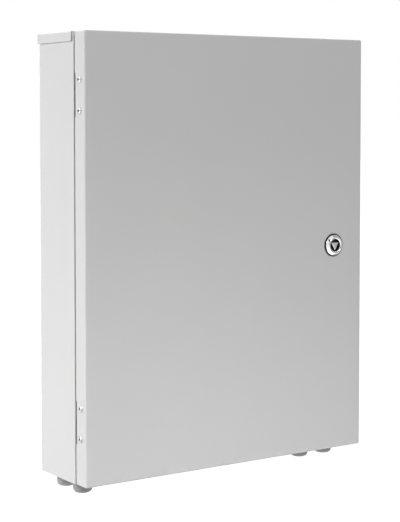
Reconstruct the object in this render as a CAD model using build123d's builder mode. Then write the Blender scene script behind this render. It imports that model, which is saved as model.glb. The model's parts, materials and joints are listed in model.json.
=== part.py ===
from build123d import *
import os

# A steel wall enclosure for electrical gear, door on hinges at the left, lock at the right.
# X runs to the right, Y back into the wall and Z up. The origin is on the back panel's rear face,
# at the middle of the four wall holes. All lengths are in millimetres.

os.makedirs("parts", exist_ok=True)

# Overall sizes
width = 390.0
height = 500.0
body_depth = 81.0
door_depth = 21.0
door_gap = 3.0

# Sheet metal
sheet = 1.2
flange_bend = 2.0
frame_bend = 1.4
collar_bend = 0.8
rear_bend = 3.0
lid_bend = 1.5
seam_gap = 0.2
cut_over = 4.0

# Front frame round the opening, with its collar turned forward into the gasket
frame_flange = 18.0
gasket_width = 12.0
gasket_thick = 8.0
gasket_round = 3.0
gasket_gap = 0.3

# Top cover and bottom panel
lip_height = 11.0
lip_gap = 0.3
lip_end = 3.2
relief_slit = 1.4
slit_depth = 1.8
bottom_lip = 12.0

# Wall fixing holes in the back panel
wall_hole_radius = 4.5
wall_hole_side_margin = 25.0
wall_hole_end_margin = 25.0

# Cable grommets
grommet_radius = 11.0
grommet_drop = 16.2
grommet_round = 5.0
grommet_wall = 1.6
grommet_cup_radius = 5.0
grommet_neck_radius = 9.0
grommet_collar_radius = 11.5
grommet_collar_thick = 2.0
grommet_fit = 0.05
grommet_side_inset = 22.0
grommet_front_inset = 22.5
grommet_pitch = 37.5

# Mounting plate and its studs
plate_side_margin = 30.0
plate_end_margin = 35.0
plate_thick = 2.0
plate_corner = 6.0
plate_standoff = 13.8
stud_edge = 15.0
stud_radius = 4.0
stud_foot_radius = 7.0
stud_past_nut = 3.0
stud_fit = 0.05
washer_radius = 8.0
washer_thick = 1.6
nut_flats = 13.0
nut_thick = 6.5

# Earth studs
earth_height = 42.0
earth_depth = 42.0
earth_stud_length = 22.0
door_earth_inset = 55.0
door_earth_height = 52.0
door_stud_radius = 3.0
door_stud_length = 14.0
door_foot_radius = 5.5
door_washer_radius = 6.0
door_nut_flats = 10.0
door_nut_thick = 5.0
foot_thick = 1.5

# Hinges
hinge_end_distance = 70.0
hinge_length = 46.0
hinge_inset = 4.8
hinge_reach = 10.5
hinge_plate = 2.0
notch_depth = 1.4
notch_margin = 1.0
knuckle_radius = 3.2
knuckle_length = 20.0
knuckle_gap = 0.4
lug_length = 4.0
pin_radius = 2.0
pin_fit = 0.05
pin_recess = 0.2
pin_chamfer = 0.4
arm_thick = 2.2
arm_offset = 8.7
arm_round = 1.6
plate_edge_gap = 5.5
leaf_front_gap = 1.3
leaf_rear_reach = 4.5
boss_radius = 3.4
boss_height = 2.0
door_screw_pitch = 34.0
frame_screw_pitch = 32.0
frame_screw_inset = 10.2
screw_radius = 2.0
screw_fit = 0.05
screw_head_radius = 4.0
screw_head_height = 2.0
screw_head_edge = 0.8
countersunk_radius = 3.7
screw_nut_flats = 7.0
screw_nut_thick = 3.2
screw_past_nut = 0.8

# Lock
lock_edge_distance = 43.5
rim_radius = 12.6
rim_face_radius = 9.9
rim_edge = 1.0
rim_proud = 4.0
rim_inner_chamfer = 1.0
barrel_radius = 11.0
barrel_fit = 0.1
barrel_flat = 10.0
recess_radius = 7.5
recess_depth = 7.0
lock_seal_thick = 0.8
lock_seal_radius = 14.0
lock_nut_flats = 27.0
lock_nut_thick = 5.0
rotor_radius = 6.0
rotor_fit = 0.05
rotor_disc_radius = 7.2
rotor_disc_thick = 1.5
rotor_end_gap = 0.3
key_side = 10.5
key_round = 0.8
key_below_rim = 1.0
tail_width = 7.0
tail_fit = 0.1
cam_clear = 0.6
cam_thick = 3.0
cam_reach = 38.0
cam_hub_radius = 10.0
cam_tip_radius = 7.0
cam_screw_radius = 2.5
cam_screw_depth = 10.0
cam_screw_head_radius = 4.5
cam_screw_head_height = 3.0
cam_washer_radius = 6.5
cam_washer_thick = 1.2

# Faces and lines that several pieces share
side = width / 2
top = height / 2
body_front = -body_depth
door_back = body_front - door_gap
door_front = door_back - door_depth
door_inner = door_front + sheet
opening_half_width = side - frame_flange
opening_half_height = top - frame_flange
collar_side = opening_half_width + sheet
collar_top = opening_half_height + sheet
gasket_back = door_inner + gasket_thick
collar_tip = gasket_back + gasket_gap
lip_front = body_front + lip_end
flange_inner = body_front + sheet


def keep(piece, label):
    """Name a finished piece and write it."""
    piece.part.label = label
    export_step(piece.part, f"parts/{label}.step")


def bent_sheet(plane, points, radii, inside):
    """The section of a bent sheet whose outer face runs along the points."""
    with BuildSketch(plane) as section:
        with BuildLine():
            FilletPolyline(*points, radius=radii)
            offset(amount=sheet, side=inside)
        make_face()
    return section.sketch


def lengthwise(seat):
    """The plane through a seat's axis: its X is the radius and its Y runs out along the axis."""
    return Plane(origin=seat.origin, x_dir=seat.x_dir, z_dir=-seat.y_dir)


def turned(seats, outline):
    """Equal turned pieces, one on each seat: the outline is radius and distance out of the seat."""
    with BuildPart() as pieces:
        for seat in seats:
            with BuildSketch(lengthwise(seat)):
                with BuildLine():
                    Polyline(*outline, close=True)
                make_face()
            revolve(axis=Axis(seat.origin, seat.z_dir))
    return pieces


def relief_slits():
    """The two slits behind the frame's upper corners, where the side, its front bend and the cover meet."""
    with BuildPart() as slits:
        for hand in (1, -1):
            with Locations((hand * side, lip_front - relief_slit / 2, top - lip_height / 2)):
                Box(2 * slit_depth, relief_slit, lip_height)
    return slits.part


def hex_nuts(seats, flats, thick, hole_radius):
    """Equal hexagon nuts, one on each seat."""
    with BuildPart() as nuts:
        for seat in seats:
            with BuildSketch(seat):
                RegularPolygon(flats / 2, 6, major_radius=False)
                Circle(hole_radius, mode=Mode.SUBTRACT)
            extrude(amount=thick)
    return nuts


def washers(seats, radius, thick, hole_radius):
    """Equal flat washers, one on each seat."""
    with BuildPart() as rings:
        for seat in seats:
            with BuildSketch(seat):
                Circle(radius)
                Circle(hole_radius, mode=Mode.SUBTRACT)
            extrude(amount=thick)
    return rings


def welded_studs(seats, foot_radius, foot_height, radius, length):
    """Studs with a wider foot, one on each seat."""
    outline = [
        (0, 0),
        (foot_radius, 0),
        (foot_radius, foot_height),
        (radius, foot_height),
        (radius, length),
        (0, length),
    ]
    return turned(seats, outline)


# Hinge and screw places
hinge_heights = [top - hinge_end_distance, hinge_end_distance - top]
hinge_x = hinge_inset - side
hinge_y = body_front - hinge_reach
door_screw_y = door_front + door_depth / 2
door_screw_heights = [h + s * door_screw_pitch / 2 for h in hinge_heights for s in (1, -1)]
frame_screw_x = frame_screw_inset - side
frame_screw_heights = [h + s * frame_screw_pitch / 2 for h in hinge_heights for s in (1, -1)]
frame_plate_face = body_front - hinge_plate

# Mounting plate place
plate_half_width = side - plate_side_margin
plate_half_height = top - plate_end_margin
plate_rear = -sheet - plate_standoff
stud_x = plate_half_width - stud_edge
stud_z = plate_half_height - stud_edge

# Wall hole places
wall_hole_x = side - wall_hole_side_margin
wall_hole_z = top - wall_hole_end_margin

# Grommet places in the bottom panel
grommet_x = side - grommet_side_inset
grommet_y = body_front + grommet_front_inset
grommet_places = {
    "grommet_left_front": (-grommet_x, grommet_y),
    "grommet_left_rear": (-grommet_x, grommet_y + grommet_pitch),
    "grommet_right_outer": (grommet_x, grommet_y),
    "grommet_right_inner": (grommet_x - grommet_pitch, grommet_y),
}

# Lock place
lock_x = side - lock_edge_distance
rim_back = door_front - lock_seal_thick
cam_front = flange_inner + cam_clear
cam_back = cam_front + cam_thick
barrel_end = cam_front - rotor_end_gap

# Housing shell: back, sides and side front flanges are one bent sheet
shell_points = [
    (-collar_side, collar_tip),
    (-collar_side, body_front),
    (-side, body_front),
    (-side, 0),
    (side, 0),
    (side, body_front),
    (collar_side, body_front),
    (collar_side, collar_tip),
]
shell_radii = [collar_bend, frame_bend, rear_bend, rear_bend, frame_bend, collar_bend]
shell_height = height - sheet
with BuildPart() as housing_shell:
    shell_section = bent_sheet(Plane.XY.offset(-top), shell_points, shell_radii, Side.RIGHT)
    extrude(shell_section, amount=shell_height)
    # The collars stop at the corners of the opening
    for end in (1, -1):
        corner_middle = end * (top + opening_half_height) / 2
        with Locations((0, body_front - door_depth / 2, corner_middle)):
            Box(width, door_depth, frame_flange, mode=Mode.SUBTRACT)
    add(relief_slits(), mode=Mode.SUBTRACT)
    # Wall holes
    with BuildSketch(Plane.XZ.offset(-cut_over)):
        with GridLocations(2 * wall_hole_x, 2 * wall_hole_z, 2, 2):
            Circle(wall_hole_radius)
    extrude(amount=sheet + 2 * cut_over, mode=Mode.SUBTRACT)
    # Hinge screw holes in the left flange
    with BuildSketch(Plane.XZ.offset(body_depth + cut_over)):
        for z in frame_screw_heights:
            with Locations((frame_screw_x, z)):
                Circle(screw_radius + screw_fit)
    extrude(amount=-sheet - 2 * cut_over, mode=Mode.SUBTRACT)
keep(housing_shell, "housing_shell")


# Top cover: a sheet with lips outside the sides, and the front flange above the opening
lip_side = side + lip_gap + sheet
flange_half_width = opening_half_width - seam_gap
cover_points = [
    (-lip_side, top - lip_height),
    (-lip_side, top),
    (lip_side, top),
    (lip_side, top - lip_height),
]
upper_flange_points = [
    (collar_tip, collar_top),
    (body_front, collar_top),
    (body_front, top),
    (lip_front, top),
]
with BuildPart() as top_cover:
    cover_section = bent_sheet(Plane.XZ.offset(-lip_front), cover_points, [lid_bend, lid_bend], Side.RIGHT)
    extrude(cover_section, amount=lip_front)
    flange_radii = [collar_bend, frame_bend]
    upper_flange = bent_sheet(Plane.YZ, upper_flange_points, flange_radii, Side.RIGHT)
    extrude(upper_flange, amount=flange_half_width, both=True)
    # The sheet's front corners, over the side flanges
    with BuildSketch(Plane.XY.offset(top - sheet)):
        for hand in (1, -1):
            corner_width = side - flange_half_width
            with Locations((hand * (side - corner_width / 2), (lip_front + body_front) / 2)):
                Rectangle(corner_width, lip_end)
    extrude(amount=sheet)
    add(relief_slits(), mode=Mode.SUBTRACT)
keep(top_cover, "top_cover")

# Bottom panel: a tray between the sides, with the front flange below the opening
tray_side = side - sheet - seam_gap
tray_front = flange_inner + seam_gap
tray_rear = -sheet - seam_gap
tray_middle = (tray_front + tray_rear) / 2
lower_flange_points = [
    (collar_tip, -collar_top),
    (body_front, -collar_top),
    (body_front, -top),
    (lip_front, -top),
]
with BuildPart() as bottom_panel:
    with BuildSketch(Plane.XY.offset(-top)):
        with Locations((0, tray_middle)):
            Rectangle(2 * tray_side, tray_rear - tray_front)
        fillet(vertices(), rear_bend)
    extrude(amount=sheet)
    with BuildSketch(Plane.XY.offset(-top)):
        for hand in (1, -1):
            with Locations((hand * (tray_side - sheet / 2), tray_middle)):
                Rectangle(sheet, tray_rear - tray_front - 2 * rear_bend)
        with Locations((0, tray_rear - sheet / 2)):
            Rectangle(2 * tray_side - 2 * rear_bend, sheet)
    extrude(amount=bottom_lip)
    lower_flange = bent_sheet(Plane.YZ, lower_flange_points, flange_radii, Side.LEFT)
    extrude(lower_flange, amount=flange_half_width, both=True)
    with BuildSketch(Plane.XY.offset(-top - cut_over)):
        for place in grommet_places.values():
            with Locations(place):
                Circle(grommet_neck_radius + grommet_fit)
    extrude(amount=sheet + 2 * cut_over, mode=Mode.SUBTRACT)
keep(bottom_panel, "bottom_panel")

# Cable grommets: blind rubber cups, pushed into the bottom panel from outside
collar_rest = sheet + grommet_fit
for label, (x, y) in grommet_places.items():
    with BuildPart() as grommet:
        with BuildSketch(Plane.XZ):
            with BuildLine():
                outer = FilletPolyline(
                    (0, -grommet_drop),
                    (grommet_radius, -grommet_drop),
                    (grommet_radius, 0),
                    radius=grommet_round,
                )
                Polyline(
                    outer @ 1,
                    (grommet_neck_radius, 0),
                    (grommet_neck_radius, collar_rest),
                    (grommet_collar_radius, collar_rest),
                    (grommet_collar_radius, collar_rest + grommet_collar_thick),
                    (grommet_neck_radius - grommet_wall, collar_rest + grommet_collar_thick),
                    (grommet_neck_radius - grommet_wall, 0),
                )
                Polyline(
                    (grommet_neck_radius - grommet_wall, 0),
                    (grommet_cup_radius, grommet_wall - grommet_drop),
                    (0, grommet_wall - grommet_drop),
                    outer @ 0,
                )
            make_face()
        revolve(axis=Axis.Z)
    grommet.part.label = label
    grommet.part.position = (x, y, -top)
    export_step(grommet.part, f"parts/{label}.step")

# Mounting plate on its welded studs
plate_seats = [
    Plane(origin=(right * stud_x, -sheet, upper * stud_z), z_dir=(0, -1, 0))
    for right in (1, -1)
    for upper in (1, -1)
]
with BuildPart() as mounting_plate:
    with BuildSketch(Plane.XZ.offset(-plate_rear)):
        RectangleRounded(2 * plate_half_width, 2 * plate_half_height, plate_corner)
        with GridLocations(2 * stud_x, 2 * stud_z, 2, 2):
            Circle(stud_radius + stud_fit, mode=Mode.SUBTRACT)
    extrude(amount=plate_thick)
keep(mounting_plate, "mounting_plate")

stud_length = plate_standoff + plate_thick + washer_thick + nut_thick + stud_past_nut
plate_studs = welded_studs(plate_seats, stud_foot_radius, plate_standoff, stud_radius, stud_length)
keep(plate_studs, "plate_studs")
washer_seats = [seat.offset(plate_standoff + plate_thick) for seat in plate_seats]
plate_washers = washers(washer_seats, washer_radius, washer_thick, stud_radius + stud_fit)
keep(plate_washers, "plate_washers")
nut_seats = [seat.offset(washer_thick) for seat in washer_seats]
plate_nuts = hex_nuts(nut_seats, nut_flats, nut_thick, stud_radius + stud_fit)
keep(plate_nuts, "plate_nuts")

# Earth stud on the left side of the housing
earth_seat = Plane(origin=(sheet - side, -earth_depth, earth_height - top), z_dir=(1, 0, 0))
housing_earth_stud = welded_studs([earth_seat], stud_foot_radius, foot_thick, stud_radius, earth_stud_length)
keep(housing_earth_stud, "housing_earth_stud")
earth_washer_seat = earth_seat.offset(foot_thick)
housing_earth_washer = washers([earth_washer_seat], washer_radius, washer_thick, stud_radius + stud_fit)
keep(housing_earth_washer, "housing_earth_washer")
earth_nut_seat = earth_washer_seat.offset(washer_thick)
housing_earth_nut = hex_nuts([earth_nut_seat], nut_flats, nut_thick, stud_radius + stud_fit)
keep(housing_earth_nut, "housing_earth_nut")

# Door: a pan with four flanges, notched for the hinges
with BuildPart() as door_panel:
    with BuildSketch(Plane.XZ.offset(-door_back)):
        RectangleRounded(width, height, flange_bend)
    extrude(amount=door_depth)
    fillet(faces().sort_by(Axis.Y)[0].edges(), flange_bend)
    with BuildSketch(Plane.XZ.offset(-door_back)):
        RectangleRounded(width - 2 * sheet, height - 2 * sheet, flange_bend - sheet)
    extrude(amount=door_depth - sheet, mode=Mode.SUBTRACT)
    # Notches that leave room for the frame halves of the hinges
    with BuildSketch(Plane.YZ.offset(-side - cut_over)):
        for z in hinge_heights:
            with Locations((door_back, z)):
                Rectangle(2 * notch_depth, hinge_length + 2 * notch_margin)
    extrude(amount=sheet + 2 * cut_over, mode=Mode.SUBTRACT)
    # Hinge screw holes
    with BuildSketch(Plane.YZ.offset(-side - cut_over)):
        for z in door_screw_heights:
            with Locations((door_screw_y, z)):
                Circle(screw_radius + screw_fit)
    extrude(amount=sheet + 2 * cut_over, mode=Mode.SUBTRACT)
    # Lock hole, with the barrel's two flats
    with BuildSketch(Plane.XZ.offset(-door_front + cut_over)):
        with Locations((lock_x, 0)):
            Circle(barrel_radius + barrel_fit)
            hole_height = 2 * (barrel_flat + barrel_fit)
            Rectangle(2 * (barrel_radius + barrel_fit), hole_height, mode=Mode.INTERSECT)
    extrude(amount=-sheet - 2 * cut_over, mode=Mode.SUBTRACT)
keep(door_panel, "door_panel")

# Gasket: a foamed ring that meets the collar round the opening
gasket_half_width = opening_half_width + (sheet + gasket_width) / 2
gasket_half_height = opening_half_height + (sheet + gasket_width) / 2
with BuildPart() as door_gasket:
    with BuildSketch(Plane.XZ.offset(-door_inner)):
        RectangleRounded(2 * gasket_half_width, 2 * gasket_half_height, gasket_width)
        Rectangle(
            2 * (gasket_half_width - gasket_width),
            2 * (gasket_half_height - gasket_width),
            mode=Mode.SUBTRACT,
        )
    extrude(amount=-gasket_thick)
    fillet(faces().sort_by(Axis.Y)[-1].edges(), gasket_round)
keep(door_gasket, "door_gasket")

# Earth stud on the door
door_earth_seat = Plane(
    origin=(door_earth_inset - side, door_inner, door_earth_height - top),
    z_dir=(0, 1, 0),
)
door_earth_stud = welded_studs(
    [door_earth_seat], door_foot_radius, foot_thick, door_stud_radius, door_stud_length
)
keep(door_earth_stud, "door_earth_stud")
door_washer_seat = door_earth_seat.offset(foot_thick)
door_earth_washer = washers([door_washer_seat], door_washer_radius, washer_thick, door_stud_radius + stud_fit)
keep(door_earth_washer, "door_earth_washer")
door_nut_seat = door_washer_seat.offset(washer_thick)
door_earth_nut = hex_nuts([door_nut_seat], door_nut_flats, door_nut_thick, door_stud_radius + stud_fit)
keep(door_earth_nut, "door_earth_nut")

# Hinges
web_left = hinge_x + arm_offset
web_right = web_left + arm_thick
bar_front = hinge_y - knuckle_radius
bar_back = bar_front + arm_thick
plate_left = plate_edge_gap - side
leaf_x = sheet - side
leaf_front = door_inner + leaf_front_gap
leaf_rear = hinge_y + leaf_rear_reach
leaf_middle = (leaf_front + leaf_rear) / 2
window_half = knuckle_length / 2 + knuckle_gap
window_reach = leaf_rear_reach + knuckle_radius + knuckle_gap
pin_half = window_half + lug_length - pin_recess
for label, z in zip(("upper", "lower"), hinge_heights):
    # Frame half: a plate on the front flange, and an arm that reaches round to the knuckle
    with BuildPart() as frame_half:
        with BuildSketch(Plane.XY.offset(z - hinge_length / 2)):
            with Locations(((plate_left + web_right) / 2, (body_front + frame_plate_face) / 2)):
                Rectangle(web_right - plate_left, hinge_plate)
        extrude(amount=hinge_length)
        with BuildSketch(Plane.XY.offset(z - knuckle_length / 2)):
            with BuildLine():
                FilletPolyline(
                    (hinge_x, bar_front),
                    (web_right, bar_front),
                    (web_right, body_front - hinge_plate / 2),
                    radius=arm_round,
                )
                Polyline(
                    (web_right, body_front - hinge_plate / 2),
                    (web_left, body_front - hinge_plate / 2),
                    (web_left, bar_back),
                    (hinge_x, bar_back),
                    (hinge_x, bar_front),
                )
            make_face()
            with Locations((hinge_x, hinge_y)):
                Circle(knuckle_radius)
                Circle(pin_radius + pin_fit, mode=Mode.SUBTRACT)
        extrude(amount=knuckle_length)
        for screw_z in (z - frame_screw_pitch / 2, z + frame_screw_pitch / 2):
            with Locations(Plane(origin=(frame_screw_x, frame_plate_face, screw_z), z_dir=(0, -1, 0))):
                CounterSinkHole(screw_radius + screw_fit, countersunk_radius + screw_fit)
    keep(frame_half, f"{label}_hinge_frame_half")

    # Door half: a leaf on the inside of the flange, with two lugs and two threaded bosses
    with BuildPart() as door_half:
        with BuildSketch(Plane.YZ.offset(leaf_x)):
            with Locations((leaf_middle, z)):
                Rectangle(leaf_rear - leaf_front, hinge_length)
            with Locations((leaf_rear, z)):
                Rectangle(2 * window_reach, 2 * window_half, mode=Mode.SUBTRACT)
        extrude(amount=hinge_plate)
        for hand in (1, -1):
            lug_start = z + hand * window_half
            with BuildSketch(Plane.XY.offset(lug_start)):
                with Locations((hinge_x, hinge_y)):
                    Circle(knuckle_radius)
                with Locations(((leaf_x + hinge_x) / 2, hinge_y)):
                    Rectangle(hinge_x - leaf_x, 2 * knuckle_radius)
            extrude(amount=hand * lug_length)
            with BuildSketch(Plane.YZ.offset(leaf_x)):
                with Locations((door_screw_y, z + hand * door_screw_pitch / 2)):
                    Circle(boss_radius)
            extrude(amount=hinge_plate + boss_height)
        with BuildSketch(Plane.YZ.offset(leaf_x - cut_over)):
            with Locations((door_screw_y, z)):
                with GridLocations(screw_radius, door_screw_pitch, 1, 2):
                    Circle(screw_radius + screw_fit)
        extrude(amount=hinge_plate + boss_height + 2 * cut_over, mode=Mode.SUBTRACT)
        with BuildSketch(Plane.XY.offset(z - pin_half - pin_recess)):
            with Locations((hinge_x, hinge_y)):
                Circle(pin_radius + pin_fit)
        extrude(amount=2 * (pin_half + pin_recess), mode=Mode.SUBTRACT)
    keep(door_half, f"{label}_hinge_door_half")

    # Pin
    with BuildPart() as hinge_pin:
        with Locations((hinge_x, hinge_y, z)):
            Cylinder(pin_radius, 2 * pin_half)
        chamfer(edges().filter_by(GeomType.CIRCLE), pin_chamfer)
    keep(hinge_pin, f"{label}_hinge_pin")

# Round-head screws through the door's flange into the hinges
door_screw_seats = [Plane(origin=(-side, door_screw_y, z), z_dir=(-1, 0, 0)) for z in door_screw_heights]
screw_end = -sheet - hinge_plate - boss_height
hinge_door_screws = turned(
    door_screw_seats,
    [
        (0, screw_end),
        (screw_radius, screw_end),
        (screw_radius, 0),
        (screw_head_radius, 0),
        (screw_head_radius, screw_head_edge),
        (screw_head_radius - screw_head_edge, screw_head_height),
        (0, screw_head_height),
    ],
)
keep(hinge_door_screws, "hinge_door_screws")

# Countersunk screws and nuts that hold the frame halves
frame_screw_seats = [
    Plane(origin=(frame_screw_x, frame_plate_face, z), z_dir=(0, -1, 0)) for z in frame_screw_heights
]
frame_nut_offset = -hinge_plate - sheet
frame_screw_end = frame_nut_offset - screw_nut_thick - screw_past_nut
hinge_frame_screws = turned(
    frame_screw_seats,
    [
        (0, frame_screw_end),
        (screw_radius, frame_screw_end),
        (screw_radius, screw_radius - countersunk_radius),
        (countersunk_radius, 0),
        (0, 0),
    ],
)
keep(hinge_frame_screws, "hinge_frame_screws")
frame_nut_seats = [seat.offset(frame_nut_offset - screw_nut_thick) for seat in frame_screw_seats]
hinge_frame_nuts = hex_nuts(frame_nut_seats, screw_nut_flats, screw_nut_thick, screw_radius + screw_fit)
keep(hinge_frame_nuts, "hinge_frame_nuts")

# Lock body: bevelled rim in front, barrel with two flats through the door
front_seat = Plane(origin=(lock_x, rim_back, 0), x_dir=(1, 0, 0), z_dir=(0, -1, 0))
barrel_length = barrel_end - rim_back
recess_floor = rim_proud - recess_depth
lock_outline = [
    (rotor_radius + rotor_fit, -barrel_length),
    (barrel_radius, -barrel_length),
    (barrel_radius, 0),
    (rim_radius, 0),
    (rim_radius, rim_edge),
    (rim_face_radius, rim_proud),
    (recess_radius + rim_inner_chamfer, rim_proud),
    (recess_radius, rim_proud - rim_inner_chamfer),
    (recess_radius, recess_floor),
    (rotor_radius + rotor_fit, recess_floor),
]
with BuildPart() as lock_body:
    add(turned([front_seat], lock_outline).part)
    with BuildSketch(front_seat):
        with Locations((0, barrel_radius + barrel_flat), (0, -barrel_radius - barrel_flat)):
            Rectangle(2 * rim_radius, 2 * barrel_radius)
    extrude(amount=-barrel_length, mode=Mode.SUBTRACT)
keep(lock_body, "lock_body")

# Seal under the rim, nut behind the door
seal_seat = front_seat.offset(-lock_seal_thick)
lock_seal = washers([seal_seat], lock_seal_radius, lock_seal_thick, barrel_radius + barrel_fit)
keep(lock_seal, "lock_seal")
lock_nut_seat = Plane(origin=(lock_x, door_inner, 0), z_dir=(0, 1, 0))
lock_nut = hex_nuts([lock_nut_seat], lock_nut_flats, lock_nut_thick, barrel_radius + barrel_fit)
keep(lock_nut, "lock_nut")

# Rotor: the triangular key post in the recess, the shaft and the square tail that carries the cam
disc_front = recess_floor + rotor_fit + rotor_disc_thick
shoulder = rim_back - cam_front
tail_end = shoulder - cam_thick + rotor_end_gap
rotor_outline = [
    (0, shoulder),
    (rotor_radius, shoulder),
    (rotor_radius, recess_floor + rotor_fit),
    (rotor_disc_radius, recess_floor + rotor_fit),
    (rotor_disc_radius, disc_front),
    (0, disc_front),
]
with BuildPart() as lock_insert:
    add(turned([front_seat], rotor_outline).part)
    with BuildSketch(front_seat.offset(disc_front)):
        RegularPolygon(key_side / 3**0.5, 3, rotation=-90)
    extrude(amount=rim_proud - key_below_rim - disc_front)
    with BuildSketch(front_seat.offset(shoulder)):
        RectangleRounded(tail_width, tail_width, key_round)
    extrude(amount=tail_end - shoulder)
    with BuildSketch(front_seat.offset(tail_end)):
        Circle(cam_screw_radius + rotor_fit)
    extrude(amount=cam_screw_depth + cam_thick, mode=Mode.SUBTRACT)
keep(lock_insert, "lock_insert")

# Cam: hangs down behind the door when the lock is open
with BuildPart() as lock_cam:
    with BuildSketch(Plane.XZ.offset(-cam_back)):
        with Locations((lock_x, 0)):
            Circle(cam_hub_radius)
        with Locations((lock_x, cam_tip_radius - cam_reach)):
            Circle(cam_tip_radius)
        make_hull()
        with Locations((lock_x, 0)):
            Rectangle(tail_width + 2 * tail_fit, tail_width + 2 * tail_fit, mode=Mode.SUBTRACT)
    extrude(amount=cam_thick)
keep(lock_cam, "lock_cam")

# Cam washer and screw
cam_seat = Plane(origin=(lock_x, cam_back, 0), z_dir=(0, 1, 0))
cam_washer = washers([cam_seat], cam_washer_radius, cam_washer_thick, cam_screw_radius + rotor_fit)
keep(cam_washer, "cam_washer")
cam_screw = turned(
    [cam_seat.offset(cam_washer_thick)],
    [
        (0, -cam_washer_thick - cam_screw_depth),
        (cam_screw_radius, -cam_washer_thick - cam_screw_depth),
        (cam_screw_radius, 0),
        (cam_screw_head_radius, 0),
        (cam_screw_head_radius, cam_screw_head_height - screw_head_edge),
        (cam_screw_head_radius - screw_head_edge, cam_screw_head_height),
        (0, cam_screw_head_height),
    ],
)
keep(cam_screw, "cam_screw")
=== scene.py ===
import json
import math

import bmesh
import bpy
from mathutils import Matrix, Vector, noise

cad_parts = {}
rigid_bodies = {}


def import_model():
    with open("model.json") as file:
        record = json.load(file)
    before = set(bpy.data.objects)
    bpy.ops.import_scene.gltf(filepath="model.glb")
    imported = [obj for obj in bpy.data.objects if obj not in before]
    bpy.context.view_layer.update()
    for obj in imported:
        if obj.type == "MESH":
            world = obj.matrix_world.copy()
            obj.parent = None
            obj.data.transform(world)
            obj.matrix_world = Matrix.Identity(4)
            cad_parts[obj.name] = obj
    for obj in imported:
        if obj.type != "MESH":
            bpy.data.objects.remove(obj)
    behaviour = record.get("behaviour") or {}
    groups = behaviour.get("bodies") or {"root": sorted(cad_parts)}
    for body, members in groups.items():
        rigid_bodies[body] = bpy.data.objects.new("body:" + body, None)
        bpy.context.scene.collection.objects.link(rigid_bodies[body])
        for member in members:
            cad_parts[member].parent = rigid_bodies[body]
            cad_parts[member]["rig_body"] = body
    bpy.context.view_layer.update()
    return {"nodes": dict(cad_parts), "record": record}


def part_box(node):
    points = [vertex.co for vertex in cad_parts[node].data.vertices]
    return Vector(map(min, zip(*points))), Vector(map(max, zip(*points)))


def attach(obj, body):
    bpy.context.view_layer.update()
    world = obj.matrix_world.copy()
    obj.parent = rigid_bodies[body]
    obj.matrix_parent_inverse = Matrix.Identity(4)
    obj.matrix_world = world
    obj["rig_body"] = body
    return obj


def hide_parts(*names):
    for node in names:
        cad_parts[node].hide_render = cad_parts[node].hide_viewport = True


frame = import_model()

# The finish, the small hardware, the light and the camera of a steel wall enclosure.
# The row's frame: X to the right, Y back into the wall, Z up, in metres.
MM = 0.001
TAU = 2 * math.pi
METAL = 1.0
WELD = 0.002 * MM

# Directions in the row's frame
LEFT = (-1, 0, 0)
RIGHT = (1, 0, 0)
FORWARD = (0, -1, 0)
BACK = (0, 1, 0)
UP = (0, 0, 1)

# Camera, found from the corners of the door and the body in the photo
PHOTO_HEIGHT = 522
FOCAL_PIXELS = 1439.4
HORIZON_ROW = 185.0
FILM = 36.0
CAMERA_PLACE = (-0.962, -1.4631, 0.1601)
CAMERA_YAW = -34.04
CAMERA_PITCH = -2.845

# Hardware sizes. M8, M6, M5 and M4 are the radii of the threads.
M8 = 4.0 * MM
M8_PITCH = 1.25 * MM
M6 = 3.0 * MM
M6_PITCH = 1.0 * MM
M5 = 2.5 * MM
M5_PITCH = 0.8 * MM
M4 = 2.0 * MM
M4_PITCH = 0.7 * MM
THREAD_DEPTH_SHARE = 0.6
THREAD_STEPS = 6
PAN_HEAD = 2.0 * MM
PAN_EDGE = 0.35 * MM
DOME_STEPS = 12
DOME_RISE_POWER = 0.8
DOME_RADIUS_POWER = 0.62
COUNTERSUNK_HEAD = 1.7 * MM
CAM_SCREW_HEAD = 3.0 * MM
STUD_FOOT = 1.5 * MM
PLATE_FOOT = 13.8 * MM
NUT_CHAMFER = 0.55 * MM
NUT_CHAMFER_ANGLE = 30.0
NUT_FACE_SHARE = 0.95
NUT_HOLE_SHARE = 0.15
EDGE_ROUND = 0.15 * MM
EDGE_STEPS = 3
EDGE_SHARE = 0.45
HOLE_FIT = 0.05 * MM

# Cross recesses of the screws: reach, half width and depth, and what is left of the first two at the foot
PAN_RECESS_REACH = 2.4 * MM
PAN_RECESS_DEPTH = 1.6 * MM
PAN_RECESS = (PAN_RECESS_REACH, 0.65 * MM, PAN_RECESS_DEPTH)
CAM_RECESS = (2.4 * MM, 0.55 * MM, 1.6 * MM)
FOOT_REACH_SHARE = 0.4
FOOT_WIDTH_SHARE = 0.7
CUTTER_RISE_SHARE = 0.25

# How many sides the turned pieces have, and the angle in degrees from which an edge stays sharp
SCREW_SIDES = 40
WASHER_SIDES = 64
NUT_SIDES = 72
GROMMET_SIDES = 72
ROTOR_SIDES = 96
LOCK_SIDES = 128
SHARP = 32
SCREW_SHARP = 38
GROMMET_SHARP = 50
LOCK_SHARP = 28
GASKET_SHARP = 60

# The four round-head screws on the door's left flange, and how deep painted shade darkens their recesses
HINGE_SCREW_TOP = (-197.0 * MM, -94.5 * MM, 0.0)
HINGE_HEIGHT = 180.0 * MM
HINGE_SCREW_OFFSET = 17.0 * MM
# Painted shade: the depths between which the screw recesses are darkened in the colour
SCREW_SHADE_SHALLOW = 0.25 * MM
SCREW_SHADE_DEEP = 0.6 * MM

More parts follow.
